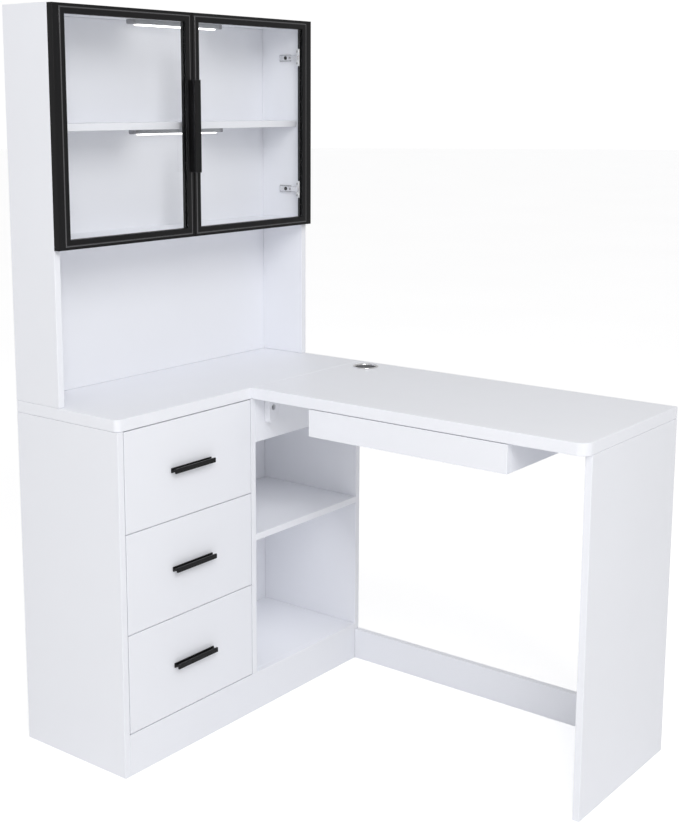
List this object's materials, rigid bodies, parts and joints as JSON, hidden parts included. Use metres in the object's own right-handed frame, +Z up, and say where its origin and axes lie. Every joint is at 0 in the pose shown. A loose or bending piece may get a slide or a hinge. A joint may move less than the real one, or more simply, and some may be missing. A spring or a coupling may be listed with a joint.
{
  "type": "corner desk",
  "caption": "L-shaped corner desk: drawer cabinet with an open cupboard and a lit glass-door hutch, and a desktop with a pencil drawer on an end panel.",
  "frame": {"origin": "on the floor, in the middle of the overall plan", "axes": "+Z up; the cabinet's drawer fronts face -Y; the desk reaches towards -Y at the cabinet's +X end; the sitter is at the desk's -X side"},
  "size_m": [0.8, 1.1, 1.55],
  "materials": {
    "white_laminate": "satin white laminate on particle board",
    "drawer_board": "matt white foil on fibreboard",
    "black_aluminium": "satin black anodised extrusion",
    "clear_glass": "clear polished glass",
    "chrome": "bright nickel plate",
    "zinc_steel": "zinc plated",
    "white_plastic": "moulded, matt",
    "lamp_body": "satin extrusion with dark end caps",
    "lamp_diffuser": "frosted diffuser, lit"
  },
  "bodies": {
    "desk_carcass": {"base_back": "white_laminate", "base_bottom": "white_laminate", "base_divider": "white_laminate", "base_left_panel": "white_laminate", "base_plinth": "white_laminate", "base_rail": "white_laminate", "base_right_panel": "white_laminate", "base_shelf": "white_laminate", "base_top": "white_laminate", "cupboard_bottom": "white_laminate", "desktop": "white_laminate", "grommet_ring": "chrome", "hinge_arm_left_lower": "chrome", "hinge_arm_left_upper": "chrome", "hinge_arm_right_lower": "chrome", "hinge_arm_right_upper": "chrome", "hutch_back": "white_laminate", "hutch_left_panel": "white_laminate", "hutch_right_panel": "white_laminate", "hutch_shelf": "white_laminate", "hutch_top": "white_laminate", "leg_panel": "white_laminate", "light_bar_lower": "lamp_body", "light_bar_upper": "lamp_body", "light_lens_lower": "lamp_diffuser", "light_lens_upper": "lamp_diffuser", "pencil_runner_far": "zinc_steel", "pencil_runner_near": "zinc_steel", "rail_bracket": "white_plastic", "runner_1_left": "zinc_steel", "runner_1_right": "zinc_steel", "runner_2_left": "zinc_steel", "runner_2_right": "zinc_steel", "runner_3_left": "zinc_steel", "runner_3_right": "zinc_steel", "stretcher": "white_laminate"},
    "drawer_1": {"drawer_1_bottom": "drawer_board", "drawer_1_box": "drawer_board", "drawer_1_front": "white_laminate", "drawer_1_handle": "black_aluminium"},
    "drawer_2": {"drawer_2_bottom": "drawer_board", "drawer_2_box": "drawer_board", "drawer_2_front": "white_laminate", "drawer_2_handle": "black_aluminium"},
    "drawer_3": {"drawer_3_bottom": "drawer_board", "drawer_3_box": "drawer_board", "drawer_3_front": "white_laminate", "drawer_3_handle": "black_aluminium"},
    "pencil_drawer": {"pencil_front": "white_laminate", "pencil_box": "white_laminate", "pencil_bottom": "white_laminate"},
    "left_door": {"door_left_frame": "black_aluminium", "door_left_glass": "clear_glass", "door_left_handle": "black_aluminium", "hinge_plate_left_lower": "chrome", "hinge_plate_left_upper": "chrome"},
    "right_door": {"door_right_frame": "black_aluminium", "door_right_glass": "clear_glass", "hinge_plate_right_lower": "chrome", "hinge_plate_right_upper": "chrome"}
  },
  "joints": [
    {"name": "drawer_1_slide", "type": "slide", "parent": "desk_carcass", "child": "drawer_1", "axis": [0, -1, 0], "range_m": [0, 0.2]},
    {"name": "drawer_2_slide", "type": "slide", "parent": "desk_carcass", "child": "drawer_2", "axis": [0, -1, 0], "range_m": [0, 0.2]},
    {"name": "drawer_3_slide", "type": "slide", "parent": "desk_carcass", "child": "drawer_3", "axis": [0, -1, 0], "range_m": [0, 0.2]},
    {"name": "pencil_slide", "type": "slide", "parent": "desk_carcass", "child": "pencil_drawer", "axis": [1, 0, 0], "range_m": [-0.22, 0]},
    {"name": "door_left_swing", "type": "hinge", "parent": "desk_carcass", "child": "left_door", "pos_m": [-0.4, 0.4177, 1.3095], "axis": [0, 0, -1], "range_deg": [0, 100]},
    {"name": "door_right_swing", "type": "hinge", "parent": "desk_carcass", "child": "right_door", "pos_m": [0.4, 0.4177, 1.3095], "axis": [0, 0, 1], "range_deg": [0, 100]}
  ]
}
